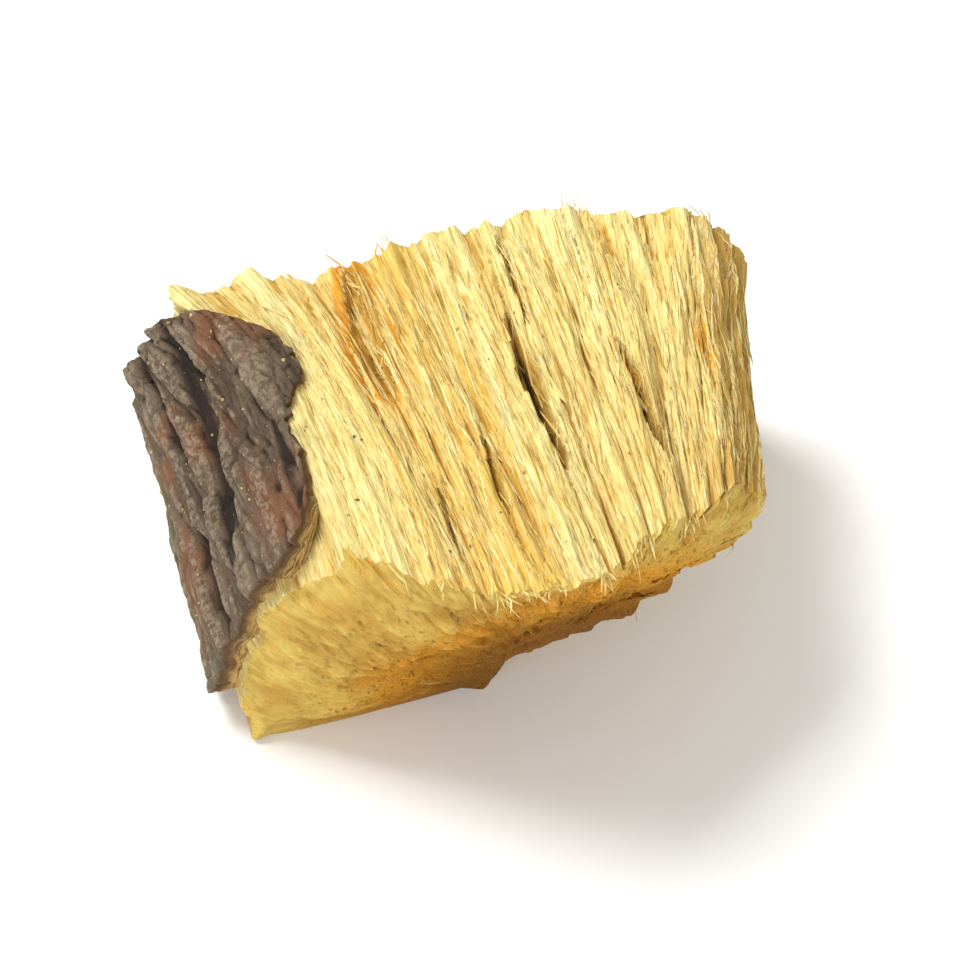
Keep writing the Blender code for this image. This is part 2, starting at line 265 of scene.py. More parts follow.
def strand_relief(place, y):
    """Height of the split wood: a swell, bundles and fibres as in the solid, then fine fibres, open
    vessels, and lanes torn out along the fibres, down to a lower layer."""
    wander = 0.45 * smooth_noise(place * 0.4, y * 0.3 + 7, 5)
    across = place + wander
    bundle, bundle_groove = strands(across / BUNDLE_WIDTH, y / 9.0, 11)
    fibre, fibre_groove = strands(across / FIBRE_WIDTH, y / 6.0 + 3, 12)
    swell = ripple(place / 2.4, y / 4.0, 13)
    solid = 0.40 * swell + 0.30 * bundle - 0.13 * bundle_groove + 0.16 * fibre - 0.08 * fibre_groove
    thread, thread_groove = strands(across / THREAD_WIDTH, y / 3.6 + 5, 14, 14.0)
    hair, hair_groove = strands(across / HAIR_WIDTH, y / 2.0 + 11, 16, 12.0)
    patch = smooth_noise(place / 0.8 + 13, y / 2.6 + 2, 17) + 0.60 * thread + 0.35 * hair
    torn = ramp(patch, 0.58, 0.62) + ramp(patch, 0.78, 0.82)
    vessel = pits(across / VESSEL_WIDTH, y / 2.4, 18, 0.42)
    fine = 0.11 * thread - 0.06 * thread_groove + 0.06 * hair - 0.04 * hair_groove
    return solid + fine - 0.07 * torn - 0.07 * vessel


def wall_surface():
    """Points of the side wall, (stations, round, 3), their relief, crack depth and amber streak, and
    their place in the grain: round the root, along it, and down a crack. The outline is pushed out
    along its normal by the relief, except on the flat underside, and the ends are frayed."""
    edges = [e + np.arange(n) / n for e, n in enumerate(WALL_COLUMNS)]
    u, t = np.meshgrid(np.concatenate(edges), np.linspace(0, 1, WALL_STATIONS))
    flat, normal = section(u, t), outward(u, t)
    place = round_the_outline(u)
    y = lengthwise(flat, t)
    over = np.maximum(0.0, bark_top(t) - 12)
    past_bark = u - over
    split = ramp(past_bark, 0.0, 0.25) * (1 - ramp(u, SIDE_END, UNDER_START))
    left = 0.6 * stretch_of(u, UNDER_END, UNDER_END + 0.4, 11.8, 12.0)
    top = stretch_of(u, 0.1, 0.3, TOP_END - 0.3, TOP_END)
    under = stretch_of(u, UNDER_START, UNDER_START + 0.1, UNDER_END - 0.1, UNDER_END)
    crack = top * crack_depth(TOP_CRACKS, flat[..., 0], y)
    stained = stretch_of(u, 0.1, 0.3, TOP_END, TOP_END + 0.3)
    amber = stained * np.minimum(1.0, 1.5 * crack_depth(AMBER_STREAKS, flat[..., 0], y))
    height = strand_relief(place, y)
    edge = (1 - ramp(past_bark, 0.0, 0.25)) * ramp(past_bark, -0.10, 0.0)
    edge = edge + ramp(u, 11.8, 12.0) * (1 - ramp(over, 0.0, 0.1))
    edge_height = 0.45 * strand_relief(1.4 * flat[..., 0] + 60, y)
    relief = split * height + left * (height - 0.25) + edge * edge_height - crack
    relief = relief * (1 - under)
    flat = flat + normal * relief[..., None]
    flat[..., 1] = np.maximum(flat[..., 1], 0.0)
    barked = stretch_of(u, UNDER_END, UNDER_END + 0.3, 11.8, 12.0)
    near_cut = (1 - under) * (1 - 0.6 * barked) * ramp(np.abs(t - 0.5), 0.3, 0.5)
    end = np.where(t < 0.5, 3.0, 9.0)
    frayed = sum(
        depth * ripple(place / width, end, seed)
        for depth, width, seed in ((0.26, 1.10, 15), (0.18, 0.37, 19), (0.12, 0.13, 20), (0.06, 0.06, 22))
    )
    y = y + frayed * near_cut
    points = np.stack([flat[..., 0], y, flat[..., 1]], -1)
    grain = np.stack([place, y, 1.3 * crack], -1)
    return points, relief, crack, amber, grain


def cut_relief(x, z, seed):
    """Height of a cut end and how hollow it is there: rays that fan out from the pith, torn bundles
    and the knife's waves as in the solid, then finer rays and bundle ends between them."""
    dx, dz = x - PITH[0], z - PITH[1]
    angle, radius = np.arctan2(dz, dx), np.hypot(dx, dz)
    ray, ray_groove = strands(angle * 7.0 + 40, radius / 3.5 + 5, seed)
    bundle, _ = strands(x / 0.75 + 20, z / 0.75 + 20, seed + 1)
    wave = ripple(x / 2.4 + 30, z / 2.4 + 30, seed + 2)
    local = ramp(radius, 0.8, 3.0) * (0.14 * ray - 0.08 * ray_groove) + 0.14 * bundle
    fine_ray, fine_groove = strands(angle * 21.0 + 40, radius / 1.3 + 5, seed + 3, 14.0)
    tuft, tuft_groove = strands(x / 0.26 + 20, z / 0.26 + 20, seed + 4, 12.0)
    chip = smooth_noise(x / 0.9 + 3, z / 0.9 + 8, seed + 5) + 0.5 * tuft + 0.3 * fine_ray
    local = local + ramp(radius, 1.2, 3.2) * (0.06 * fine_ray - 0.04 * fine_groove)
    local = local + 0.10 * tuft - 0.05 * tuft_groove - 0.10 * ramp(chip, 0.58, 0.63)
    return local + 0.35 * wave, ramp(-local, 0.0, 0.16)


def cut_surface(rim, cut, outward_y, seed):
    """Rings of points from the rim in to the middle of a cut end, (rings, round, 3). The relief
    grows with the distance from the rim, and the rim's own tears fade out over half a millimetre."""
    share = (np.arange(1, CUT_RINGS) / CUT_RINGS)[:, None]
    x = rim[:, 0] + (CUT_CENTRE[0] - rim[:, 0]) * share
    z = rim[:, 2] + (CUT_CENTRE[1] - rim[:, 2]) * share
    inside = share * np.hypot(CUT_CENTRE[0] - rim[:, 0], CUT_CENTRE[1] - rim[:, 2])
    relief, hollow = cut_relief(x, z, seed)
    tear = rim[:, 1] - cut(rim[:, 0], rim[:, 2])
    y = cut(x, z) + tear * (1 - ramp(inside, 0.0, 0.5))
    y = y + outward_y * ramp(inside, 0.0, 1.0) * relief
    return np.stack([x, y, z], -1), hollow * ramp(inside, 0.0, 0.5)


def rings_to_middle(rim_row, first_number, flip):
    """Faces from a rim in to its middle point: full rings, one ring of triangles that halves the
    number of columns, then rings of every other column. Numbers run on from first_number."""
    columns = len(rim_row)
    fine = np.arange(CUT_FINE_RINGS * columns).reshape(-1, columns) + first_number
    coarse_rings = CUT_RINGS - 1 - CUT_FINE_RINGS
    coarse = np.arange(coarse_rings * columns // 2).reshape(-1, columns // 2) + fine[-1, -1] + 1
    fine = np.concatenate([rim_row[None], fine])
    middle = coarse[-1, -1] + 1
    if flip:
        fine, coarse = np.roll(fine[:, ::-1], 1, 1), np.roll(coarse[:, ::-1], 1, 1)
    wide, narrow = fine[-1], coarse[0]
    even, odd, next_even = wide[::2], wide[1::2], np.roll(wide[::2], -1)
    next_narrow = np.roll(narrow, -1)
    triangles = [
        np.stack([even, odd, narrow], -1), np.stack([odd, next_narrow, narrow], -1),
        np.stack([odd, next_even, next_narrow], -1),
        np.stack([coarse[-1], np.roll(coarse[-1], -1), np.full(columns // 2, middle)], -1),
    ]
    quads = np.concatenate([faces_between(fine), faces_between(coarse)])
    return quads, np.concatenate(triangles), middle + 1


def hollows(height, across, along):
    """0 on ridges and 1 in hollows: the mean of the height over a window less the height itself."""
    padded = np.pad(height, ((along, along), (across, across)), mode="reflect")
    total = np.pad(padded.cumsum(0).cumsum(1), ((1, 0), (1, 0)))
    wide, tall = 2 * across + 1, 2 * along + 1
    window = total[tall:, wide:] - total[:-tall, wide:] - total[tall:, :-wide] + total[:-tall, :-wide]
    return np.clip((window / (wide * tall) - height) / HOLLOW_DEPTH + 0.25, 0, 1)


def faces_between(rows):
    """Four-cornered faces between rows of point numbers that each close on themselves."""
    low, high = rows[:-1], rows[1:]
    quads = np.stack([low, np.roll(low, -1, 1), np.roll(high, -1, 1), high], -1)
    return quads.reshape(-1, 4)


def new_piece(name, points, quads, triangles, values_of):
    """One mesh from its points in mm, its faces, and values for each point or for each corner of
    each face."""
    mesh = bpy.data.meshes.new(name)
    corners = np.concatenate([quads.ravel(), triangles.ravel()])
    starts = np.concatenate([np.arange(len(quads)) * 4, quads.size + np.arange(len(triangles)) * 3])
    mesh.vertices.add(len(points))
    mesh.vertices.foreach_set("co", ((points - BOX_CENTRE) * MM).ravel())
    mesh.loops.add(len(corners))
    mesh.loops.foreach_set("vertex_index", corners)
    mesh.polygons.add(len(starts))
    mesh.polygons.foreach_set("loop_start", starts)
    mesh.update(calc_edges=True)
    for key, values in values_of.items():
        values = values[corners] if len(values) == len(points) else values
        kind, field = ("FLOAT_VECTOR", "vector") if values.ndim == 2 else ("FLOAT", "value")
        mesh.attributes.new(key, kind, "CORNER").data.foreach_set(field, values.ravel())
    mesh.shade_smooth()
    mesh.set_sharp_from_angle(angle=SHARP_FOLD)
    piece = bpy.data.objects.new(name, mesh)
    bpy.context.scene.collection.objects.link(piece)
    return piece


def wood_block():
    """The wall's rows, then rings from its first and last row in to a point in each cut end.
    Wall faces and end faces keep values of their own at the rim that they share."""
    wall, wall_relief, wall_crack, wall_amber, wall_grain = wall_surface()
    columns = wall.shape[1]
    wall_rows = np.arange(wall.shape[0] * columns).reshape(-1, columns)
    points, hollow = [wall.reshape(-1, 3)], [np.zeros(wall_rows.size)]
    for rim, cut, outward_y, seed in ((wall[0], front_cut, -1, 21), (wall[-1], back_cut, 1, 31)):
        rings, deep = cut_surface(rim, cut, outward_y, seed)
        points += [rings[:CUT_FINE_RINGS].reshape(-1, 3), rings[CUT_FINE_RINGS:, ::2].reshape(-1, 3)]
        hollow += [deep[:CUT_FINE_RINGS].ravel(), deep[CUT_FINE_RINGS:, ::2].ravel()]
        points.append(rings[-1].mean(0)[None])
        hollow.append(deep[-1].mean()[None])
    points, end_hollow = np.concatenate(points), np.concatenate(hollow)
    wall_quads = faces_between(wall_rows)
    front_quads, front_triangles, after_front = rings_to_middle(wall_rows[0], wall_rows.size, True)
    back_quads, back_triangles, _ = rings_to_middle(wall_rows[-1], after_front, False)
    quads = np.concatenate([wall_quads, front_quads, back_quads])
    triangles = np.concatenate([front_triangles, back_triangles])
    wall_corners = wall_quads.ravel()
    wall_places = wall_grain.reshape(-1, 3)[wall_quads].reshape(-1, columns, 4, 3)
    wall_places[:, -1, 1:3, 0] += round_the_outline(len(FRONT_CORNERS))
    end_corners = np.concatenate([front_quads.ravel(), back_quads.ravel(), triangles.ravel()])
    wall_hollow = hollows(wall_relief, 6, 5).ravel()
    none_there = np.zeros(len(end_corners))
    values = {
        "grain": np.concatenate([wall_places.reshape(-1, 3), points[end_corners]]),
        "hollow": np.concatenate([wall_hollow[wall_corners], end_hollow[end_corners]]),
        "crack": np.concatenate([wall_crack.ravel()[wall_corners], none_there]),
        "amber": np.concatenate([wall_amber.ravel()[wall_corners], none_there]),
        "cut": np.repeat([0.0, 1.0], [len(wall_corners), len(end_corners)]),
    }
    return new_piece("licorice_wood", points, quads, triangles, values), wall


def put(kind, sockets, tree=None, **settings):
    """Adds a shader node. Each socket takes a value, or a link from another node's output. The node
    joins the tree of its links, or the given tree where it has none."""
    links = {key: value for key, value in sockets.items() if isinstance(value, bpy.types.NodeSocket)}
    tree = tree or next(iter(links.values())).id_data
    made = tree.nodes.new("ShaderNode" + kind)
    for key, value in settings.items():
        setattr(made, key, value)
    for key, value in sockets.items():
        if key in links:
            tree.links.new(value, made.inputs[key])
        else:
            made.inputs[key].default_value = value
    return made


def reckon(operation, first, *others):
    """A function of one value, or an operation carried on from the first value to the last."""
    if not others:
        return put("Math", {0: first}, operation=operation).outputs[0]
    for other in others:
        first = put("Math", {0: first, 1: other}, operation=operation).outputs[0]
    return first


def times(*values):
    return reckon("MULTIPLY", *values)


def plus(*values):
    return reckon("ADD", *values)


def less(value, taken):
    return reckon("SUBTRACT", value, taken)


def blend(share, under, over):
    """The number between under and over, at a share from 0 to 1."""
    return put("Mix", {0: share, 2: under, 3: over}, data_type="FLOAT").outputs[0]


def tint(share, under, over):
    """The colour between under and over, at a share from 0 to 1."""
    return put("Mix", {0: share, 6: under, 7: over}, data_type="RGBA").outputs[2]


def layered(ground, layers):
    """A ground under layers of colour, each laid on by its share times its strength."""
    for share, strength, colour in layers:
        ground = tint(times(share, strength), ground, (*colour, 1))
    return ground


def between(value, low, high, start=0.0, end=1.0):
    """start below low and end above high, with a smooth step."""
    sockets = {"Value": value, "From Min": low, "From Max": high, "To Min": start, "To Max": end}
    return put("MapRange", sockets, interpolation_type="SMOOTHSTEP").outputs[0]


def below(value, low, high):
    """1 below low and 0 above high, with a smooth step."""
    return between(value, low, high, 1.0, 0.0)


def speckle(place, fineness, detail=3.0, roughness=0.6):
    """Even noise from 0 to 1 at a number of grains to the millimetre."""
    sockets = {"Vector": place, "Scale": fineness, "Detail": detail, "Roughness": roughness}
    return put("TexNoise", sockets).outputs[0]


def vector(x, y, z):
    return put("CombineXYZ", {0: x, 1: y, 2: z}).outputs[0]


def parts_of(place):
    """The three coordinates of a place."""
    return put("SeparateXYZ", {0: place}).outputs


def attribute(tree, name, output="Fac"):
    return put("Attribute", {}, tree, attribute_name=name).outputs[output]


def millimetres(tree):
    """Object coordinates in millimetres."""
    place = put("TexCoord", {}, tree).outputs["Object"]
    return put("Mapping", {"Vector": place, "Scale": (1000, 1000, 1000)}).outputs[0]


def new_group(name, **inputs):
    """An empty node group with named inputs of the given kinds, and what it is given there."""
    group = bpy.data.node_groups.new(name, "ShaderNodeTree")
    for title, kind in inputs.items():
        group.interface.new_socket(title, in_out="INPUT", socket_type="NodeSocket" + kind)
    return group, group.nodes.new("NodeGroupInput").outputs


def put_out(group, **values):
    """Adds the named outputs of a node group, each linked to its value."""
    for title in values:
        group.interface.new_socket(title, in_out="OUTPUT", socket_type="NodeSocketFloat")
    outlet = group.nodes.new("NodeGroupOutput")
    for title, value in values.items():
        group.links.new(value, outlet.inputs[title])


def fibre_grain_group():
    """Streaks along the second coordinate: noises of rising fineness, squeezed lengthwise. Tone is
    their weighted sum, Height leaves out the broadest, Hair is the finest alone, and Band is broader
    than them all."""
    group, given = new_group("fibre grain", Place="Vector", Squeeze="Float")
    shape = vector(1.0, given["Squeeze"], 1.0)
    place = put("VectorMath", {0: given["Place"], 1: shape}, operation="MULTIPLY").outputs[0]
    broad = speckle(place, 1.5, 2.0)
    middle = speckle(place, 5.0, 3.0)
    fine = speckle(place, 16.0, 3.0, 0.7)
    hair = speckle(place, 34.0, 2.0, 0.6)
    band = speckle(place, 0.6, 1.0)
    height = plus(times(middle, 0.5), times(fine, 0.5))
    tone = plus(times(broad, 0.45), times(height, 0.55))
    put_out(group, Tone=tone, Height=height, Hair=hair, Band=band)
    return group


def end_grain_group():
    """What a cut across the root shows, in polar coordinates about the pith: Rays is noise that is
    even at the pith and long away from it, Grit is finer noise of both kinds, Pores are small
    vessels between the rays, Ring is the thin dark layer between wood and inner bark, and Heart is
    1 at the pith and 0 far from it."""
    group, given = new_group("end grain", Place="Vector")
    across, _, up = parts_of(given["Place"])
    x = less(across, float(PITH[0] - BOX_CENTRE[0]))
    z = less(up, float(PITH[1]))
    flat = vector(x, z, 0.0)
    angle = reckon("ARCTAN2", z, x)
    radius = reckon("SQRT", plus(times(x, x), times(z, z)))
    fan = vector(times(angle, 9.0), times(radius, 0.5), 0.0)
    thin_fan = vector(times(angle, 26.0), times(radius, 1.6), 0.0)
    even, drawn = speckle(flat, 6.0, 4.0, 0.7), speckle(fan, 2.4, 5.0, 0.72)
    rays = blend(between(radius, 0.3, 2.2), even, drawn)
    grit, thin = speckle(flat, 18.0, 4.0, 0.85), speckle(thin_fan, 2.6, 3.0, 0.7)
    fine = blend(between(radius, 0.8, 3.0), grit, thin)
    fine = plus(times(fine, 0.55), times(grit, 0.45))
    wander = times(less(speckle(flat, 0.9), 0.5), 2.2)
    reach = plus(radius, wander)
    spots = put("TexVoronoi", {"Vector": flat, "Scale": 9.0, "Randomness": 1.0})
    round_spots = below(spots.outputs["Distance"], 0.10, 0.42)
    wedges = between(speckle(fan, 1.1, 1.0), 0.46, 0.54)
    pores = times(round_spots, below(reach, 3.6, 4.4), wedges)
    ring = below(reckon("ABSOLUTE", less(reach, 4.55)), 0.02, 0.14)
    heart = below(plus(radius, times(wander, 0.5)), 0.6, 4.4)
    put_out(group, Rays=rays, Grit=fine, Pores=pores, Ring=ring, Heart=heart)
    return group


fibre_grain = fibre_grain_group()
end_grain = end_grain_group()


def dry_surface(material, colour, height, depth, strength, patches, dullest, smoothest):
    """Colour and fine relief on a material's shader. It is rough all over, and least so where the
    patches rise."""
    tree = material.node_tree
    shader = tree.nodes["Principled BSDF"]
    bump = put("Bump", {"Strength": strength, "Distance": depth, "Height": height})
    sockets = {"Value": patches, "From Min": 0.3, "From Max": 0.7, "To Min": dullest, "To Max": smoothest}
    roughness = put("MapRange", sockets)
    tree.links.new(colour, shader.inputs["Base Color"])
    tree.links.new(bump.outputs[0], shader.inputs["Normal"])
    tree.links.new(roughness.outputs[0], shader.inputs["Roughness"])
    shader.inputs["Specular IOR Level"].default_value = DRY_SHINE
    return material


def wood_finish():
    """Cream to golden fibres, with ochre painted shade in the hollows and brown painted shade down the
    cracks, two amber streaks on the top that darken along their middle, and brown painted shade on
    the right side and the underside. A cut end is more orange, partly its own colour and partly
    painted shade, with rays and pores, and brown painted shade about the pith and towards its foot."""
    material = bpy.data.materials.new("licorice wood")
    material.use_nodes = True
    tree = material.node_tree
    grain_place, place = attribute(tree, "grain", "Vector"), millimetres(tree)
    hollow, crack, cut, amber = (attribute(tree, name) for name in ("hollow", "crack", "cut", "amber"))
    grain = put("Group", {"Place": grain_place, "Squeeze": 0.07}, node_tree=fibre_grain).outputs
    end = put("Group", {"Place": place}, node_tree=end_grain).outputs
    hair, rays, grit = grain["Hair"], end["Rays"], end["Grit"]

    round_at, along_at, _ = parts_of(grain_place)
    wobble = times(less(grain["Tone"], 0.5), 5.0)
    round_at = plus(round_at, wobble)
    start, stop = GOLDEN_BAND
    golden = between(round_at, start - 0.25, start + 0.25)
    golden = times(golden, below(round_at, stop - 0.35, stop + 0.35), 0.85)
    streaks = times(between(grain["Band"], 0.48, 0.62), 0.45)
    side_edge, bark_foot = float(round_the_outline(TOP_END)), float(round_the_outline(UNDER_END))
    full_round = float(round_the_outline(len(FRONT_CORNERS)))
    # Painted shade: brown on the right side and the underside, reaching onto the top's right margin, more so
    # towards the front.
    side_at = less(round_at, times(between(along_at, -0.2, 0.9), 0.9))
    painted_side_shade = between(side_at, side_edge - 0.9, side_edge + 0.1)
    painted_side_shade = times(painted_side_shade, below(round_at, bark_foot + 0.3, bark_foot + 0.9))
    # Painted shade: darker olive on the wood beside the bark.
    by_bark = between(round_at, bark_foot + 0.3, bark_foot + 1.3)
    by_bark = times(by_bark, below(round_at, full_round - 0.9, full_round - 0.1))
    # Amber in two streaks on the top, darker along their middle.
    ambered = between(plus(amber, times(wobble, 0.25)), 0.08, 0.62)
    ambered = times(ambered, reckon("CEIL", amber))
    clouds = speckle(place, 0.45, 2.0)
    cream, gold, ochre = (0.89, 0.79, 0.36, 1), (0.79, 0.59, 0.18, 1), (0.53, 0.29, 0.04)
    fibre = tint(between(grain["Tone"], 0.38, 0.60), gold, cream)
    fibre = layered(fibre, (
        (reckon("MAXIMUM", streaks, golden), 1.0, (0.76, 0.50, 0.10)),
        (painted_side_shade, 0.90, (0.54, 0.31, 0.055)),
        (by_bark, 0.6, (0.60, 0.47, 0.17)),
        (ambered, 1.0, (0.74, 0.32, 0.015)),
        (between(amber, 0.62, 1.0), 0.65, (0.34, 0.17, 0.020)),
        (between(clouds, 0.52, 0.70), 0.4, (0.76, 0.50, 0.14)),
        (below(grain["Height"], 0.37, 0.47), 0.6, ochre),
        (below(hair, 0.36, 0.46), 0.45, ochre),
        (between(hair, 0.56, 0.66), 0.5, (0.93, 0.83, 0.46)),
        # Painted shade: ochre in the hollows of the split face's relief.
        (between(hollow, 0.38, 1.0), 0.85, ochre),
        # Painted shade: orange-brown at the lips of the cracks and near black deep down them.
        (between(crack, 0.02, 0.18), 0.8, (0.70, 0.41, 0.06)),
        (between(crack, 0.26, 0.60), 1.0, (0.14, 0.070, 0.010)),
    ))

    across, _, up = parts_of(place)
    foot = plus(up, times(rays, 2.0), times(across, -0.3))
    pale, tan = (0.97, 0.72, 0.17, 1), (0.98, 0.45, 0.03, 1)
    # Tan and then brown towards the pith, which lies low on the cut: partly the end grain's own deeper
    # colour and partly painted shade.
    face = tint(between(end["Heart"], 0.00, 0.45), pale, tan)
    face = layered(face, (
        (between(end["Heart"], 0.55, 1.0), 1.0, (0.36, 0.125, 0.010)),
        # Painted shade: brown towards the cut's foot, low down and more so on the right.
        (below(foot, 1.3, 2.9), 0.90, (0.245, 0.088, 0.005)),
        (below(rays, 0.40, 0.56), 0.30, (0.76, 0.30, 0.020)),
        (between(rays, 0.56, 0.68), 0.6, (0.94, 0.66, 0.20)),
        (below(grit, 0.36, 0.50), 0.28, (0.58, 0.24, 0.020)),
        (between(grit, 0.52, 0.64), 0.35, (0.94, 0.66, 0.20)),
        (end["Ring"], 0.22, (0.36, 0.17, 0.035)),
        (end["Pores"], 0.55, (0.20, 0.085, 0.016)),
        # Painted shade: orange-brown in the low spots of the cut's relief.
        (hollow, 0.50, (0.56, 0.22, 0.015)),
    ))

    wall_height = plus(grain["Height"], times(hair, 0.35))
    end_height = plus(rays, times(grit, 1.7), times(end["Pores"], -0.35))
    height = blend(cut, wall_height, end_height)
    colour = tint(cut, fibre, face)
    return dry_surface(
        material, colour, height, depth=0.00013, strength=1.0, patches=hair, dullest=0.86, smoothest=0.62)


wood, wall_points = wood_block()
wood_look = wood_finish()
wood.data.materials.append(wood_look)
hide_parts("licorice_root")
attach(wood, "root")


# The bark: a thin sheet of dry cork and inner bark on the left side, part of the same root. It is
# wrinkled lengthwise, cracked down to the inner bark, and broken off in a ragged line all round.
BARK_CRACKS = (
    (2.95, 0.80, 2.60, 0.36, 0.26, 0.28),
    (4.10, -0.70, 1.00, 0.14, 0.18, 0.10),
    (1.60, -0.30, 1.60, 0.17, 0.18, 0.12),
    (2.30, 1.90, 1.10, 0.15, 0.17, 0.05),
)
BARK_FOOT = 10.0
# The bark's front border: shares of the way up from its foot, and of the way to the back.
BARK_FRONT = ((0.00, 0.15, 0.30, 0.70, 0.85, 1.00), (0.17, 0.12, 0.05, 0.03, 0.07, 0.21))
BARK_LOW_BORDER, BARK_BACK_BORDER = 9.25, 0.975
BARK_THICKNESS, BARK_THINNEST = 0.32, 0.12
BARK_ROOTING = 0.22
BARK_ACROSS, BARK_ALONG = 230, 240
BARK_EDGE_ROWS, BARK_INNER_ROWS = 6, 4


def bark_surface():
    """Outer points of the sheet over the outline, (along, across, 3), the points sunk under them,
    the height of the outer ones and the depth of their cracks. The borders wander by noise."""
    a, b = np.meshgrid(np.linspace(0, 1, BARK_ACROSS), np.linspace(0, 1, BARK_ALONG))
    seed = 41
    top = bark_top(b) + 0.12 * ripple(b * 8, 5, seed) + 0.06 * ripple(b * 37, 2, seed)
    foot = BARK_LOW_BORDER + 0.25 * ripple(b * 6, 1, seed)
    front = np.interp(a, *BARK_FRONT) + 0.03 * ripple(a * 8, 9, seed) + 0.015 * ripple(a * 34, 3, seed)
    back = BARK_BACK_BORDER + 0.02 * ripple(a * 30, 7, seed)
    u, t = foot * (1 - a) + top * a, front * (1 - b) + back * b
    flat, normal = section(u, t), outward(u, t)
    y = lengthwise(flat, t)
    place = round_the_outline(u)
    plate, plate_groove = strands(place / 0.70, y / 3.0 + 9, seed + 1)
    wrinkle = ripple(place / 0.32, y / 1.3 + 4, seed + 2)
    height = BARK_THICKNESS + 0.24 * plate - 0.14 * plate_groove + 0.12 * wrinkle
    crack = crack_depth(BARK_CRACKS, place - round_the_outline(BARK_FOOT), y)
    height = np.maximum((height - crack) * (1 - 0.5 * ramp(a, 0.86, 1.0)), BARK_THINNEST)
    flake, flake_groove = strands(place / 0.20 + 7, y / 0.75, seed + 3, 12.0)
    crease = ripple(place / 0.10, y / 0.45 + 4, seed + 4)
    scale, scale_groove = strands(place / 0.11 + 3, y / 0.20, seed + 5, 14.0)
    height = height + 0.07 * flake - 0.05 * flake_groove
    height = height + 0.03 * crease + 0.02 * scale - 0.015 * scale_groove
    outer_flat = flat + normal * height[..., None]
    inner_flat = flat - normal * BARK_ROOTING
    outer = np.stack([outer_flat[..., 0], y, np.maximum(outer_flat[..., 1], 0.02)], -1)
    inner = np.stack([inner_flat[..., 0], y, inner_flat[..., 1]], -1)
    return outer, inner, height, crack + 0.12 * flake_groove


def border(grid):
    """A grid's outermost values in order round it, once each."""
    return np.concatenate([grid[0], grid[1:-1, -1], grid[-1, ::-1], grid[-2:0:-1, 0]])


def bark_sheet():
    """The outer grid, then rows down the broken edge from the outer border to the sunk one, then
    rings that close the underside inside the wood. The broken edge is a little uneven."""
    outer, inner, height, crack = bark_surface()
    numbers = np.arange(outer.shape[0] * outer.shape[1]).reshape(outer.shape[:2])
    low, high = numbers[:-1], numbers[1:]
    outer_quads = np.stack([low[:, :-1], low[:, 1:], high[:, 1:], high[:, :-1]], -1).reshape(-1, 4)
    outer_rim, inner_rim = border(outer), border(inner)
    middle, rim_size = inner_rim.mean(0), len(outer_rim)
    share = np.linspace(0, 1, BARK_EDGE_ROWS + 1)[1:, None, None]
    layers = ripple(np.arange(rim_size) / 7.0 + 50 * share[..., 0], 9 * share[..., 0], 61)
    pull = 0.10 * np.sin(np.pi * share) * layers[..., None]
    edge = outer_rim * (1 - share) + inner_rim * share + pull * unit(middle - outer_rim)
    inner_share = np.linspace(0, 1, BARK_INNER_ROWS + 1)[1:-1, None, None]
    closing = inner_rim * (1 - inner_share) + middle * inner_share
    points = np.concatenate([part.reshape(-1, 3) for part in (outer, edge, closing, middle)])
    ring_numbers = np.arange(numbers.size, len(points) - 1).reshape(-1, rim_size)
    rings = np.concatenate([border(numbers)[None], ring_numbers])[:, ::-1]
    quads = np.concatenate([outer_quads, faces_between(rings)])
    last = rings[-1]
    fan = np.stack([last, np.roll(last, -1), np.full(rim_size, len(points) - 1)], -1)
    edge_share = np.repeat(share.ravel(), rim_size)
    sunk = np.ones(closing.shape[0] * rim_size + 1)
    none_there = np.zeros(len(points) - numbers.size)
    values = {
        "broken": np.concatenate([np.zeros(numbers.size), edge_share, sunk]),
        "hollow": np.concatenate([hollows(height, 9, 9).ravel(), none_there]),
        "crack": np.concatenate([crack.ravel(), none_there]),
    }
    return new_piece("licorice_bark", points, quads, fan, values), outer


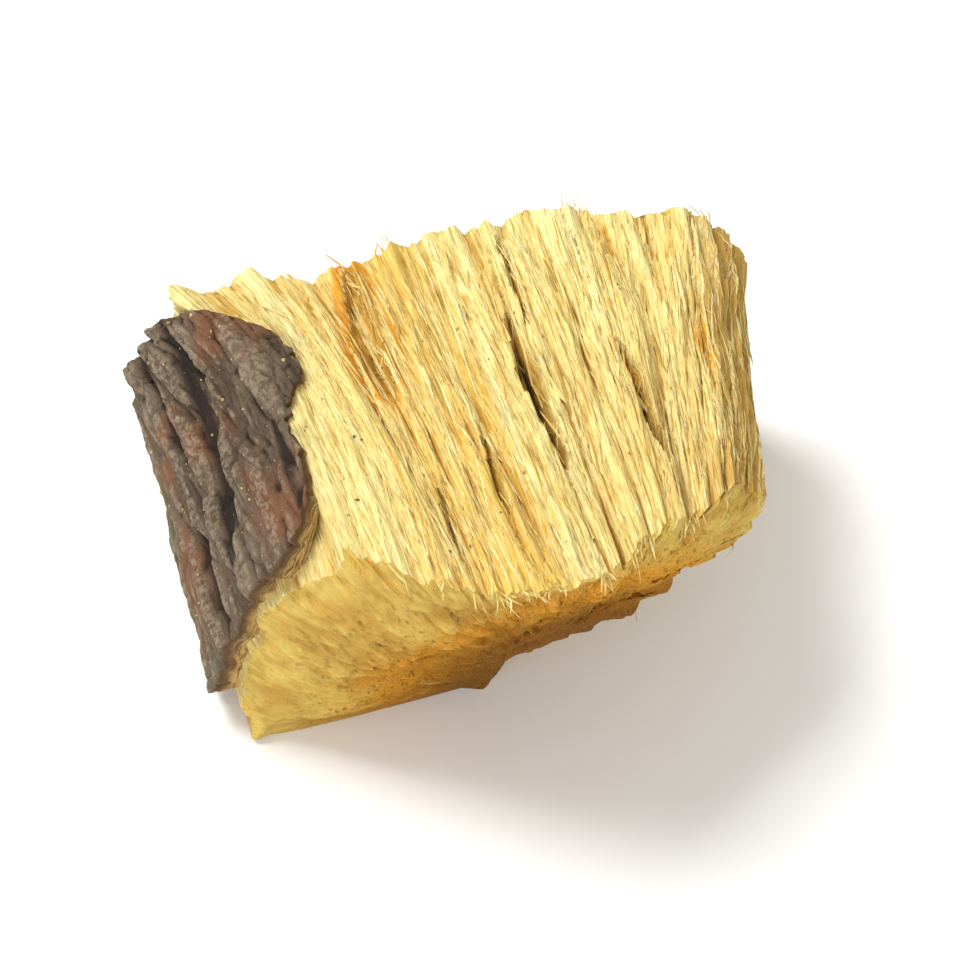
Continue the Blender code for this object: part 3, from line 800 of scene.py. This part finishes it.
def bark_finish():
    """Grey-brown cork, painted near black in its hollows and cracks as shade, rubbed paler on its
    ridges, rust red in patches and olive low down. The broken edge shows tan inner bark in layers."""
    material = bpy.data.materials.new("licorice bark")
    material.use_nodes = True
    tree = material.node_tree
    hollow, crack, broken = (attribute(tree, name) for name in ("hollow", "crack", "broken"))
    place = millimetres(tree)
    grain = put("Group", {"Place": place, "Squeeze": 0.35}, node_tree=fibre_grain).outputs
    cloud, grit = speckle(place, 0.55, 2.0), speckle(place, 9.0, 4.0, 0.75)
    _, along, up = parts_of(place)
    strata = speckle(vector(times(broken, 3.0), along, up), 4.0, 4.0, 0.7)
    low = plus(up, times(cloud, 3.0))
    ridges = times(below(hollow, 0.0, 0.22), between(grit, 0.40, 0.60))
    dark, pale = (0.060, 0.040, 0.023, 1), (0.150, 0.108, 0.070, 1)
    cork = tint(between(grain["Tone"], 0.36, 0.62), dark, pale)
    cork = layered(cork, (
        (between(cloud, 0.50, 0.66), 0.7, (0.20, 0.080, 0.036)),
        (below(low, 2.2, 4.2), 0.75, (0.125, 0.105, 0.062)),
        (ridges, 0.70, (0.28, 0.22, 0.148)),
        # Painted shade: near black in the bark's hollows and down its cracks.
        (between(hollow, 0.35, 0.95), 1.0, (0.030, 0.018, 0.012)),
        (between(crack, 0.05, 0.22), 1.0, (0.022, 0.013, 0.009)),
    ))
    layer = tint(between(strata, 0.40, 0.56), (0.17, 0.085, 0.025, 1), (0.50, 0.33, 0.11, 1))
    layer = tint(between(broken, 0.20, 0.75), (0.10, 0.055, 0.024, 1), layer)
    colour = tint(between(broken, 0.02, 0.16), cork, layer)
    colour = layered(colour, ((between(grit, 0.66, 0.72), 0.5, (0.70, 0.50, 0.22)),))
    height = plus(grain["Height"], times(grit, 0.6), times(broken, strata))
    return dry_surface(
        material, colour, height, depth=0.00008, strength=0.9, patches=grit, dullest=0.90, smoothest=0.66)


bark, bark_points = bark_sheet()
bark_look = bark_finish()
bark.data.materials.append(bark_look)
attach(bark, "root")


# The loose threads: wood fibres that tore when the root was split and cut. They lie along the grain,
# lift at one end, stand out of the cut edges or cross a crack, and each grows out of the wood.
THREAD_SIDES, THREAD_LANE = 4, 0.37
TOP_COLUMNS, SPLIT_COLUMNS = sum(WALL_COLUMNS[:3]), sum(WALL_COLUMNS[:7])
HEADROOM = 0.10


def tube_faces(numbers):
    """Faces between the rings of many tubes, from their point numbers, (tubes, rings, sides)."""
    low, high = numbers[:, :-1], numbers[:, 1:]
    return np.stack([low, high, np.roll(high, -1, 2), np.roll(low, -1, 2)], -1).reshape(-1, 4)


def thread_piece(name, middle, out, widths, flatness):
    """Thin tubes round middle lines, (threads, rings, 3). Each ring is an ellipse across its line,
    flat against the wood. The width swells from the root and the last ring is a single point."""
    count, rings = middle.shape[:2]
    along = np.gradient(middle, axis=1)
    side = unit(np.cross(along, out[:, None]))
    rise = np.cross(side, unit(along))
    way = np.linspace(0, 1, rings)
    reach = widths[:, None] * (0.55 + 0.45 * ramp(way, 0.0, 0.35)) * (1 - 0.75 * way**5)
    turn = np.arange(THREAD_SIDES)[:, None] * 2 * np.pi / THREAD_SIDES
    ring = np.cos(turn) * side[:, :, None] + np.sin(turn) * (flatness * rise)[:, :, None]
    tubes = (middle[:, :, None] + reach[..., None, None] * ring)[:, :-1]
    numbers = np.arange(count * (rings - 1) * THREAD_SIDES).reshape(count, rings - 1, THREAD_SIDES)
    quads = np.concatenate([tube_faces(numbers), numbers[:, 0]])
    tips = np.repeat(numbers.size + np.arange(count)[:, None], THREAD_SIDES, 1)
    triangles = np.stack([numbers[:, -1], tips, np.roll(numbers[:, -1], -1, 1)], -1).reshape(-1, 3)
    points = np.concatenate([tubes.reshape(-1, 3), middle[:, -1]])
    lanes = THREAD_LANE * np.arange(count)
    lane = np.concatenate([np.repeat(lanes, (rings - 1) * THREAD_SIDES), lanes])
    grain = np.stack([lane, points[:, 1], points[:, 0]], -1)
    threads = new_piece(name, points, quads, triangles, {"grain": grain})
    threads.data.materials.append(wood_look)
    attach(threads, "root")
    return threads


def on_wall(rows, columns):
    """Points of the wall at fractional rows and columns, blended from the four round each."""
    rows = np.clip(rows, 0, WALL_STATIONS - 1.001)
    row, column = np.floor(rows).astype(int), np.floor(columns).astype(int)
    down, across = (rows - row)[..., None], (columns - column)[..., None]
    near = wall_points[row, column] * (1 - across) + wall_points[row, column + 1] * across
    far = wall_points[row + 1, column] * (1 - across) + wall_points[row + 1, column + 1] * across
    return near * (1 - down) + far * down


def wall_frames(rows, columns):
    """At places on the wall: the point, and the directions along the grain, across it and outward."""
    along = unit(on_wall(rows + 4, columns) - on_wall(rows - 4, columns))
    across = unit(on_wall(rows, columns + 6) - on_wall(rows, columns - 6))
    return on_wall(rows, columns), along, across, unit(np.cross(across, along))


def bent_lines(roots, headings, bends, lengths, rings):
    """Middle lines that run from their roots along a heading and bend by the square of the way."""
    way = np.linspace(0, 1, rings)[None, :, None]
    return roots[:, None] + lengths[:, None, None] * (headings[:, None] * way + bends[:, None] * way**2)


def lying_threads():
    """Threads that lie on the split faces: each follows the wall over a number of stations, drifts
    a little to one side, stands proud by part of its width and may lift at its end."""
    chance = np.random.default_rng(85)
    count, rings = 900, 9
    way = np.linspace(0, 1, rings)
    spans = chance.uniform(9, 42, count)
    start = chance.uniform(0, WALL_STATIONS - 1 - spans)
    rows = start[:, None] + spans[:, None] * way
    turned = chance.random(count) < 0.5
    rows[turned] = rows[turned, ::-1]
    columns = chance.uniform(8, SPLIT_COLUMNS - 8, count)
    drift = chance.normal(0, 2.0, count)[:, None] * way + chance.normal(0, 1.5, count)[:, None] * way**2
    columns = np.clip(columns[:, None] + drift, 7, SPLIT_COLUMNS - 7)
    point, _, _, out = wall_frames(rows, columns)
    widths = 0.012 + 0.026 * chance.random(count) ** 2
    proud = widths[:, None] * (0.9 * np.sin(np.pi * way) - 0.5)
    lift = 0.07 * chance.random(count)[:, None] ** 3 * way**3
    middle = point + out * (proud + lift)[..., None]
    return thread_piece("lying_threads", middle, out.mean(1), widths, 0.8)


def lifted_threads():
    """Slivers and fine threads on the split faces, tilted a little off the wood and bent back."""
    chance = np.random.default_rng(81)
    count = 260
    rows = chance.uniform(10, WALL_STATIONS - 10, count)
    columns = chance.uniform(20, SPLIT_COLUMNS - 20, count)
    point, along, across, out = wall_frames(rows, columns)
    way = np.where(chance.random(count) < 0.5, -1.0, 1.0)
    sliver = chance.random(count) < 0.18
    on_top = columns < TOP_COLUMNS - 12
    lengths = np.where(sliver, chance.uniform(0.5, 1.4, count), chance.uniform(0.3, 1.1, count))
    room = np.where(way < 0, point[:, 1] - FRONT_Y, BACK_Y - point[:, 1])
    lengths = np.minimum(lengths, np.maximum(room, 0.3))
    lift = np.where(sliver, chance.uniform(0.03, 0.12, count), chance.uniform(0.05, 0.30, count))
    headroom = solid_box[1][2] / MM + HEADROOM - point[:, 2]
    lift = np.minimum(lift, np.maximum(0.03, headroom / (0.3 * lengths)))
    lift = np.where(on_top, lift, 0.5 * lift)[:, None]
    widths = np.where(sliver, chance.uniform(0.03, 0.06, count), chance.uniform(0.008, 0.018, count))
    heading = along * way[:, None] + out * lift + across * chance.normal(0, 0.06, count)[:, None]
    bend = -0.95 * out * lift + across * chance.normal(0, 0.12, count)[:, None]
    middle = bent_lines(point - out * 0.04, heading, bend, lengths, 9)
    return thread_piece("lifted_threads", middle, out, widths, 0.5)


def cut_edge_threads():
    """Tufts at the edges of both cuts: a few threads spring from nearly one place, in line with the
    grain, and curl apart. Most tufts are at the top edge."""
    chance = np.random.default_rng(83)
    tufts, count = 60, 300
    front = chance.random(tufts) < 0.6
    place = chance.uniform(10, SPLIT_COLUMNS, tufts)
    lean = chance.normal(0, 0.18, tufts)
    tuft = chance.integers(0, tufts, count)
    front = front[tuft]
    columns = np.clip(place[tuft] + chance.normal(0, 2.5, count), 8, SPLIT_COLUMNS - 8)
    rows = np.where(front, 1.0, WALL_STATIONS - 2.0)
    point, along, across, out = wall_frames(rows, columns)
    way = np.where(front, -1.0, 1.0)[:, None]
    aside = lean[tuft] + chance.normal(0, 0.16, count)
    heading = along * way + out * chance.uniform(-0.40, 0.12, count)[:, None] + across * aside[:, None]
    edge_y = np.where(front, wall_points[0, :, 1].min(), wall_points[-1, :, 1].max())
    lengths = np.minimum(0.06 + 0.42 * chance.random(count) ** 1.6, np.abs(edge_y - point[:, 1]) + 0.10)
    bend = across * chance.normal(0, 0.30, count)[:, None] - out * chance.uniform(-0.1, 0.5, count)[:, None]
    middle = bent_lines(point - along * way * 0.05 - out * 0.03, heading, bend, lengths, 8)
    return thread_piece("cut_edge_threads", middle, out, chance.uniform(0.007, 0.017, count), 0.8)


def crack_threads():
    """Threads that still bridge the cracks: each springs from one lip and slants over to the other."""
    chance = np.random.default_rng(87)
    cracks = np.array(TOP_CRACKS)
    count = 84
    pick = chance.integers(0, len(cracks), count)
    middle_x, crack_y, half_length, half_width, _, lean = cracks[pick].T
    y = crack_y + half_length * chance.uniform(-0.85, 0.85, count)
    hand = np.where(chance.random(count) < 0.5, -1.0, 1.0)
    x = middle_x + lean * (y - crack_y) + 0.6 * hand * half_width
    top = wall_points[:, :TOP_COLUMNS]
    distance = np.hypot(top[..., 0] - x[:, None, None], top[..., 1] - y[:, None, None])
    rows, columns = np.unravel_index(distance.reshape(count, -1).argmin(1), top.shape[:2])
    columns = np.clip(columns, 8, TOP_COLUMNS - 8)
    point, along, across, out = wall_frames(rows.astype(float), columns.astype(float))
    way = np.where(chance.random(count) < 0.5, -1.0, 1.0)
    lengths = chance.uniform(0.25, 0.8, count)
    slant = -hand * chance.uniform(0.5, 1.3, count) * half_width / lengths
    across = across * np.sign(across[:, :1])
    rise = chance.uniform(-0.05, 0.10, count)[:, None]
    heading = along * way[:, None] + across * slant[:, None] + out * rise
    bend = -out * chance.uniform(0.0, 0.15, count)[:, None]
    line = bent_lines(point - out * 0.03, heading, bend, lengths, 8)
    return thread_piece("crack_threads", line, out, chance.uniform(0.007, 0.018, count), 0.8)


lying_threads()
lifted_threads()
cut_edge_threads()
crack_threads()


# The crumbs: grains of wood dust that cling to the bark and the split face, and a few grains of
# broken cork near the bark's edge. Each is pressed a little into what it lies on.
CRUMB_RINGS, CRUMB_SIDES, CRUMB_FINENESS = 3, 6, 3.0


def crumb_piece(name, places, sizes, flatness, seed, look):
    """Lumps of a few rings between two poles, with each point's distance from the middle random.
    Each is squashed towards the floor by the flatness."""
    chance = np.random.default_rng(seed)
    count = len(places)
    tilt = np.pi * np.arange(1, CRUMB_RINGS + 1)[:, None] / (CRUMB_RINGS + 1)
    turn = 2 * np.pi * np.arange(CRUMB_SIDES) / CRUMB_SIDES + chance.uniform(0, 6, (count, 1, 1))
    far = chance.uniform(0.6, 1.1, (count, CRUMB_RINGS, CRUMB_SIDES))
    parts = [np.sin(tilt) * np.cos(turn), np.sin(tilt) * np.sin(turn), np.cos(tilt) + 0 * turn]
    stretch = chance.uniform(0.6, 1.4, (count, 1, 1, 3)) * np.array([1, 1, flatness])
    lumps = np.stack(parts, -1) * far[..., None] * stretch
    lumps = places[:, None, None] + sizes[:, None, None, None] * lumps
    poles = places[:, None] + sizes[:, None, None] * stretch[:, :, 0] * np.array([[0, 0, 0.8], [0, 0, -0.8]])
    numbers = np.arange(count * CRUMB_RINGS * CRUMB_SIDES).reshape(count, CRUMB_RINGS, CRUMB_SIDES)
    top_pole = np.repeat(numbers.size + 2 * np.arange(count)[:, None], CRUMB_SIDES, 1)
    top_fan = np.stack([numbers[:, 0], np.roll(numbers[:, 0], -1, 1), top_pole], -1)
    foot_fan = np.stack([np.roll(numbers[:, -1], -1, 1), numbers[:, -1], top_pole + 1], -1)
    triangles = np.concatenate([top_fan.reshape(-1, 3), foot_fan.reshape(-1, 3)])
    points = np.concatenate([lumps.reshape(-1, 3), poles.reshape(-1, 3)])
    crumbs = new_piece(name, points, tube_faces(numbers), triangles, {"grain": CRUMB_FINENESS * points})
    crumbs.data.materials.append(look)
    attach(crumbs, "root")
    return crumbs


def wood_dust():
    """Pale grains, thickest near the bark's broken edge and thin over the rest of the bark and top."""
    chance = np.random.default_rng(91)
    on_bark, on_top = 110, 120
    along = chance.integers(4, BARK_ALONG - 4, on_bark)
    across = (BARK_ACROSS - 6 - (BARK_ACROSS - 60) * chance.random(on_bark) ** 1.3).astype(int)
    top = on_wall(chance.uniform(4, WALL_STATIONS - 5, on_top), chance.uniform(8, TOP_COLUMNS - 8, on_top))
    places = np.concatenate([bark_points[along, across], top])
    sizes = 0.012 + 0.030 * chance.random(on_bark + on_top) ** 3
    return crumb_piece("wood_dust", places, sizes, 1.0, 92, wood_look)


def cork_grains():
    """Dark grains on the wood beside the bark, fewer with the distance from it."""
    chance = np.random.default_rng(93)
    count = 34
    columns = 8 + 80 * chance.random(count) ** 2.4
    places = on_wall(chance.uniform(8, WALL_STATIONS - 8, count), columns)
    sizes = 0.014 + 0.040 * chance.random(count) ** 3
    return crumb_piece("cork_grains", places, sizes, 0.4, 94, bark_look)


wood_dust()
cork_grains()


# The stage: a plain pale floor, soft light from above on the left and behind, a broad low fill at
# the front, and a long lens that looks down at the piece from its front left.
FLOOR_REACH = 0.5
VIEW_AZIMUTH, VIEW_ELEVATION, VIEW_DISTANCE, VIEW_HEIGHT = -18.0, 55.0, 0.0865, 0.0022

floor_mesh = bpy.data.meshes.new("floor")
floor_corners = [(FLOOR_REACH * x, FLOOR_REACH * y, 0) for x, y in ((-1, -1), (1, -1), (1, 1), (-1, 1))]
floor_mesh.from_pydata(floor_corners, [], [(0, 1, 2, 3)])
floor = bpy.data.objects.new("floor", floor_mesh)
bpy.context.scene.collection.objects.link(floor)
floor_paper = bpy.data.materials.new("white paper")
floor_paper.use_nodes = True
floor_shader = floor_paper.node_tree.nodes["Principled BSDF"]
floor_shader.inputs["Base Color"].default_value = (0.90, 0.90, 0.89, 1)
floor_shader.inputs["Roughness"].default_value = 0.9
floor_mesh.materials.append(floor_paper)

room = bpy.data.worlds.new("room")
room.use_nodes = True
room.node_tree.nodes["Background"].inputs["Color"].default_value = (1.0, 0.99, 0.97, 1)
room.node_tree.nodes["Background"].inputs["Strength"].default_value = 0.58
bpy.context.scene.world = room


def stand_round(thing, azimuth, elevation, distance, height=0.0):
    """Puts a lamp or a camera on a sphere round a point above the floor's middle, facing it."""
    a, e = np.radians(azimuth), np.radians(elevation)
    away = np.array([np.sin(a) * np.cos(e), -np.cos(a) * np.cos(e), np.sin(e)])
    thing.location = np.array([0.0, 0.0, height]) + away * distance
    thing.rotation_euler = (np.pi / 2 - e, 0, a)
    bpy.context.scene.collection.objects.link(thing)


def soft_light(name, azimuth, elevation, distance, size, power):
    """A square lamp that faces the piece."""
    lamp = bpy.data.lights.new(name, "AREA")
    lamp.size = size
    lamp.energy = power
    stand_round(bpy.data.objects.new(name, lamp), azimuth, elevation, distance)


soft_light("window", azimuth=-145, elevation=55, distance=0.5, size=0.22, power=2.35)
soft_light("fill", azimuth=-30, elevation=10, distance=0.5, size=0.40, power=2.5)

lens = bpy.data.cameras.new("camera")
lens.lens = 200
lens.sensor_width = 36
lens.clip_start = 0.01
camera = bpy.data.objects.new("camera", lens)
stand_round(camera, VIEW_AZIMUTH, VIEW_ELEVATION, VIEW_DISTANCE, VIEW_HEIGHT)
bpy.context.scene.camera = camera
bpy.context.scene.view_settings.view_transform = "Standard"
